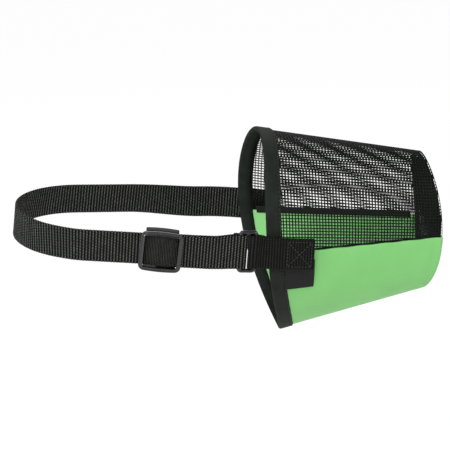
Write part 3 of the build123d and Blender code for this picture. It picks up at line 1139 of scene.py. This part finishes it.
    def tab_point(self, x: float, out: float, up: float = 0.0) -> Vector:
        """Point of the sewn tab's plane, from the swing axis forward, outward and up."""
        share = self.tab_share(x)
        dip = math.tan(self.tilt + (self.tab_tilt - self.tilt) * share)
        c, s = math.cos(math.atan(self.side_slope)), math.sin(math.atan(self.side_slope))
        return Vector((self.axis[0] + x * c + out * s, -self.near_offset + x * s - out * c,
                       self.axis[1] - x * dip - self.tab_drop * eased(share))) * MM + self.tab_up(x) * up * MM

    def tab_share(self, x: float) -> float:
        """Share of the way from the ring, 0, to where the tab lies flat on the basket, 1."""
        return clamped((x - self.tab_bend[0]) / (self.tab_bend[1] - self.tab_bend[0]))

    def tab_up(self, x: float) -> Vector:
        """Direction across the sewn tab at a distance forward of the swing axis."""
        share = eased(self.tab_share(x))
        angle = self.tilt + (self.tab_shear - self.tilt) * share
        up = Vector((math.sin(angle), 0, math.cos(angle)))
        ahead = Vector((math.cos(math.atan(self.side_slope)), math.sin(math.atan(self.side_slope)), 0))
        return (Matrix.Rotation(self.tab_lean * share, 3, ahead) @ up).normalized()

    def tab(self, material: bpy.types.Material) -> None:
        """The sewn tab and its eye round the ring's front bar."""
        bar = -self.bar_offset
        route = Route()
        for k in range(24):
            x = self.tab_sewn - k * 43.0 / 23
            route.add(self.tab_point(x, self.ply_half_gap), self.tab_up(x))
        for k in range(21):
            angle = math.radians(45 + 270 * k / 20)
            stretch = self.eye_reach if math.cos(angle) < 0 else 2.5
            route.add(self.tab_point(bar + stretch * math.cos(angle), 2.5 * math.sin(angle)), self.tab_up(bar))
        for k in range(24):
            x = -2.0 + k * 43.0 / 23
            route.add(self.tab_point(x, -self.ply_half_gap), self.tab_up(x))
        made = woven_strip("side_tab_webbing", route, self.width * MM, self.ply * MM, material, reach=1)
        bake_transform(made)
        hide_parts("side_tab", "tab_loop")

    def box_stitching(self, side: Side, thread: bpy.types.Material) -> None:
        """Rows of stitches: a box with a cross in it, at the sewn end."""
        near = side is Side.NEAR
        lift = 1.50 if near else 0.78
        offset = self.near_offset if near else self.far_offset
        far = (self.tab_sewn if near else self.far_sewn) - self.stitch_margin
        high = self.width / 2 - self.stitch_margin
        back = far - self.stitch_box
        corners = ((back, -high), (far, -high), (far, high), (back, high))
        paths = [(corners[k], corners[(k + 1) % 4]) for k in range(4)]
        paths += [(corners[0], corners[2]), (corners[1], corners[3])]
        c, s = math.cos(math.atan(self.side_slope)), math.sin(math.atan(self.side_slope))
        across = Vector((0, 0, 1))
        out = Vector((s, side.value * c, 0))

        def spot(x: float, up: float) -> tuple[Vector, Vector]:
            """Point on the webbing with its outward direction."""
            if near:
                return self.tab_point(x, lift, up), out
            base = Vector((self.axis[0] + x * c, side.value * (offset - x * s), self.axis[1]))
            return (base + out * lift + across * up) * MM, out

        rows = bmesh.new()
        for (x0, up0), (x1, up1) in paths:
            line = [spot(x0 + (x1 - x0) * k / 12, up0 + (up1 - up0) * k / 12) for k in range(13)]
            stitch_run(rows, line, 2.1 * MM, 0.7 * MM, 0.55 * MM, 0.05 * MM)
        name = "tab" if near else "far"
        made = finish_object(f"{name}_stitch_rows", rows, thread)
        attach(made, "basket")
        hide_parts(f"{name}_stitching")

    def sewn_end(self, material: bpy.types.Material) -> None:
        """The ply sewn round the slider's centre bar, its tail, and the inner ply up to the ring."""
        depth = -(0.7 + 0.3 + 1.4 + 0.4 + 1.5)
        eye = 2.4
        flat = [self.run(-self.slider_distance + 28.0 - 26.0 * k / 16, depth + 0.72) for k in range(17)]
        flat += [self.run(-self.slider_distance + eye * math.cos(math.radians(50 + 260 * k / 18)),
                          depth + eye * math.sin(math.radians(50 + 260 * k / 18))) for k in range(19)]
        flat += [self.run(-self.slider_distance + 2.0 + (self.slider_distance - 7.5) * k / 24,
                          depth - 0.72 + (-6.8 - depth + 0.72) * max(0.0, (k - 11) / 13) ** 1.4) for k in range(25)]
        x0, y0 = self.near_start
        route = Route()
        for x, y in flat:
            along = min(-math.dist((x, y), (x0, y0)), 0.0)
            route.add(self.point(x, y, self.drop_at(along)), self.near_up(along))
        made = woven_strip("inner_ply_webbing", route, self.width * MM, self.ply * MM, material, reach=1)
        near_end = self.point(*self.run(-6.0, -6.8))
        tail = self.point(*self.run(-self.slider_distance + 29.0, -4.3))
        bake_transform(made)
        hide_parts("inner_ply", "strap_end_loop")

    def hump(self, material: bpy.types.Material) -> None:
        """The strap's rise over the slider's centre bar, seen in the slider's window."""
        route = Route()
        for k in range(41):
            t = k / 40
            along = -self.slider_distance + (t - 0.5) * 25.0
            crease = 0.55 * math.exp(-((t - 0.5) / 0.02) ** 2)
            rise = 1.5 * math.sin(math.pi * t) ** 0.8 - crease
            route.add(self.point(*self.run(along, 0.2 + rise), self.drop_at(along)),
                      self.near_up(-self.slider_distance))
        made = woven_strip("slider_window_webbing", route, (self.width - 0.2) * MM, 0.7 * MM, material, reach=0,
                           relief=0.05 * MM)
        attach(made, "slider")

    def ring(self, material: bpy.types.Material) -> None:
        """The moulded keeper ring, round in section, between the tab's eye and the strap's fold."""
        loop = rounded_loop(self.ring_pitch / 2, (self.width + self.ring_rail + 1.0) / 2, 1.9, 5)
        centre = -self.bar_offset - self.ring_pitch / 2
        bar_y = -self.near_offset - self.side_slope * self.bar_offset
        thick = self.ring_rail / 2

        def place(column: int, row: int) -> Vector:
            """Point of the ring for a step along its loop and one round its section."""
            point, inward = loop[column]
            angle = 2 * math.pi * (row % 14) / 14
            spot = point + inward * thick * math.cos(angle)
            return self.point(centre + spot.x, bar_y - thick * math.sin(angle), spot.y)

        made = finish_object("keeper_ring_moulding", wrapped_grid(
            len(loop) - 1, 14, place, lambda column, row: (column * MM, row * MM)), material)
        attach(made, "keeper_ring")
        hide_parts("keeper_ring")

    def slider(self, material: bpy.types.Material, rail_material: bpy.types.Material) -> None:
        """The moulded slider: a stepped front frame, two bowed rails and the centre bar.

        Args:
            material: Glossy finish of the front.
            rail_material: Duller finish of the rails behind it.
        """
        length, height, bow = self.slider_size
        half_x = length / 2

        def bowed(point: Vector) -> Vector:
            """Push a point out along the rails' bow."""
            push = bow * (1 - min(abs(point.x) / half_x, 1.0) ** 2) if abs(point.y) > 0.3 * height else 0.0
            return Vector((point.x, point.y + math.copysign(push, point.y), point.z))

        outline = rounded_loop(half_x, height / 2 - bow, 4.0, 8)
        profile = ((0.0, -1.3), (-0.05, -0.4), (0.0, 0.08), (0.12, 0.3), (0.4, 0.4), (0.5, 0.41), (1.15, 0.34),
                   (1.25, 0.32), (1.6, 0.15), (1.74, 0.18), (1.84, 0.25), (2.6, 0.78), (2.7, 0.84), (2.85, 0.88),
                   (3.0, 0.75), (3.1, 0.3), (3.1, -1.3))

        def moulding(column: int, row: int) -> Vector:
            """Point of the front frame for a step along its outline and one round its profile."""
            point, inward = outline[column]
            depth, lift = profile[row % len(profile)]
            spot = bowed(point + inward * depth)
            return self.slider_frame() @ (Vector((spot.x, spot.y, 3.0 + lift)) * MM)

        frame = wrapped_grid(len(outline) - 1, len(profile), moulding, lambda column, row: (column * MM, row * MM))
        made = finish_object("slider_front", frame, material)
        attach(made, "slider")
        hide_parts("slider_frame")
        back = bmesh.new()
        bmesh.ops.create_cube(back, size=1.0)
        bmesh.ops.scale(back, verts=back.verts[:], vec=((length - 7.0) * MM, 1.9 * MM, 6.0 * MM))
        bmesh.ops.subdivide_edges(back, edges=[e for e in back.edges if e.calc_length() > 20 * MM], cuts=8,
                                  use_grid_fill=True)
        bmesh.ops.translate(back, verts=back.verts[:], vec=(0, (height / 2 - bow - 0.95) * MM, -2.0 * MM))
        for vert in back.verts:
            vert.co = bowed(vert.co / MM) * MM
        bmesh.ops.mirror(back, geom=back.verts[:] + back.edges[:] + back.faces[:], axis="Y", merge_dist=0.0)
        bmesh.ops.create_cone(back, cap_ends=True, segments=20, radius1=1.45 * MM, radius2=1.45 * MM,
                              depth=(height - 5.0) * MM,
                              matrix=Matrix.Translation((0, 0, -4.3 * MM)) @ Matrix.Rotation(math.pi / 2, 4, "X"))
        bmesh.ops.transform(back, matrix=self.slider_frame(), verts=back.verts[:])
        bmesh.ops.recalc_face_normals(back, faces=back.faces[:])
        rails = finish_object("slider_rails", back, rail_material)
        soft = rails.modifiers.new("edges", "BEVEL")
        soft.width, soft.segments, soft.limit_method, soft.angle_limit = 0.8 * MM, 3, "ANGLE", math.radians(38)
        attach(rails, "slider")


# ------------------------------------------------------------------ setting
@dataclass
class Studio:
    """Floor, lamps and camera."""

    azimuth: float = math.radians(-9.31)
    elevation: float = math.radians(18.55)
    roll: float = math.radians(-1.85)
    distance: float = 1.05104
    target: Vector = field(default_factory=lambda: Vector((-0.02215, 0, 0.00728)))
    lens: float = 108.67
    floor_height: float = -0.30

    def camera(self) -> None:
        """Place the camera at the product view."""
        a, e = self.azimuth, self.elevation
        back = Vector((math.sin(a) * math.cos(e), -math.cos(a) * math.cos(e), math.sin(e)))
        right = Vector((math.cos(a), math.sin(a), 0))
        up = back.cross(right)
        c, s = math.cos(self.roll), math.sin(self.roll)
        right, up = right * c + up * s, up * c - right * s
        data = bpy.data.cameras.new("product_view")
        data.lens = self.lens
        data.sensor_width = 36.0
        data.clip_start, data.clip_end = 0.05, 50.0
        made = bpy.data.objects.new("product_view", data)
        rotation = Matrix((right, up, back)).transposed().to_4x4()
        made.matrix_world = Matrix.Translation(self.target + back * self.distance) @ rotation
        bpy.context.scene.collection.objects.link(made)
        bpy.context.scene.camera = made

    def lamp(self, name: str, place: Vector, power: float, size: float) -> None:
        """Add a square area lamp aimed at the muzzle."""
        data = bpy.data.lights.new(name, "AREA")
        data.energy, data.size = power, size
        made = bpy.data.objects.new(name, data)
        made.matrix_world = (Matrix.Translation(place)
                             @ (self.target - place).to_track_quat("-Z", "Y").to_matrix().to_4x4())
        bpy.context.scene.collection.objects.link(made)

    def backdrop(self) -> None:
        """A pale floor that shows white to the camera and keeps a soft shadow."""
        mesh = bmesh.new()
        bmesh.ops.create_grid(mesh, x_segments=2, y_segments=2, size=6.0)
        bmesh.ops.translate(mesh, verts=mesh.verts[:], vec=(0, 0, self.floor_height))
        tree = Tree("pale_floor")
        rays = tree.node("ShaderNodeLightPath")
        seen = tree.out(rays, "Is Camera Ray")
        diffuse = tree.node("ShaderNodeBsdfPrincipled", None,
                            {"Base Color": (0.9, 0.9, 0.9, 1), "Roughness": 0.9,
                             "Emission Color": (1, 1, 1, 1), "Emission Strength": 0.0})
        glow = tree.node("ShaderNodeEmission", None, {"Color": (1, 1, 1, 1), "Strength": 1.05})
        mixed = tree.node("ShaderNodeMixShader", None, {0: seen * 0.9, 1: diffuse.outputs[0], 2: glow.outputs[0]})
        result = tree.node("ShaderNodeOutputMaterial")
        tree.links.new(mixed.outputs[0], result.inputs[0])
        floor = finish_object("floor", mesh, tree.material, smooth=False)

    def world(self) -> None:
        """White surroundings for the camera, a dimmer even light for the object."""
        world = bpy.data.worlds.new("studio")
        bpy.context.scene.world = world
        world.use_nodes = True
        nodes, links = world.node_tree.nodes, world.node_tree.links
        nodes.clear()
        rays = nodes.new("ShaderNodeLightPath")
        seen = nodes.new("ShaderNodeMath")
        seen.operation = "MAXIMUM"
        links.new(rays.outputs["Is Camera Ray"], seen.inputs[0])
        links.new(rays.outputs["Is Transmission Ray"], seen.inputs[1])
        strength = nodes.new("ShaderNodeMapRange")
        strength.inputs["To Min"].default_value = 0.40
        strength.inputs["To Max"].default_value = 1.0
        links.new(seen.outputs[0], strength.inputs["Value"])
        glow = nodes.new("ShaderNodeBackground")
        glow.inputs["Color"].default_value = (1, 1, 1, 1)
        links.new(strength.outputs[0], glow.inputs["Strength"])
        result = nodes.new("ShaderNodeOutputWorld")
        links.new(glow.outputs[0], result.inputs[0])

    def build(self) -> None:
        """Set up the whole studio."""
        bpy.context.scene.view_settings.view_transform = "Standard"
        self.camera()
        self.backdrop()
        self.world()
        self.lamp("key", Vector((-0.6, -1.1, 1.2)), 15.0, 0.55)
        self.lamp("fill", Vector((0.9, -0.9, 0.5)), 5.5, 0.5)
        self.lamp("side", Vector((-1.1, -0.5, 0.25)), 6.0, 0.5)
        self.lamp("back", Vector((0.2, 1.1, 1.0)), 8.0, 0.8)


def main() -> None:
    """Load the frame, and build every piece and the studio."""
    logging.basicConfig(level=logging.INFO)
    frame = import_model()
    LOG.info("%d pieces loaded", len(frame["nodes"]))
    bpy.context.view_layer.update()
    webbing, tape = Webbing().build(), Tape().build()
    # The tab's webbing is the same webbing with a fainter painted rib highlight.
    folded = Webbing(name="tab_webbing_faint_highlight", light=(0.042, 0.045, 0.040, 1), sharpness=1.5).build()
    thread = THREAD.build()
    yarn, fabric, plastic = MeshYarn().build(), CoatedFabric().build(), PLASTIC.build()
    basket = Basket()
    basket.hood(yarn)
    basket.nose_panel(yarn)
    # The inner face is partly the uncoated backing's own lighter green and partly painted light, brightened to stand
    # in for the light that reaches inside the basket.
    backing = CoatedFabric(name="fabric_backing_painted_light", deep=(0.24, 0.62, 0.21, 1), bright=(0.34, 0.76, 0.30, 1)).build()
    basket.shell(fabric, backing)
    basket.binding(tape, thread)
    basket.tapes(tape)
    harness = Harness()
    harness.strap(webbing)
    harness.tab(folded)
    harness.sewn_end(webbing)
    # The webbing in the slider's window has finer ribs and its painted rib highlight at half strength.
    window = Webbing(name="window_webbing", light=(0.11, 0.115, 0.105, 1), rib_pitch=1.15 * MM, sharpness=1.6)
    harness.hump(window.build())
    harness.slider(plastic, DULL_PLASTIC.build())
    for side in Side:
        harness.box_stitching(side, thread)
    basket.label(LabelCloth().build())
    harness.ring(plastic)
    Studio().build()


if __name__ == "__main__":
    main()
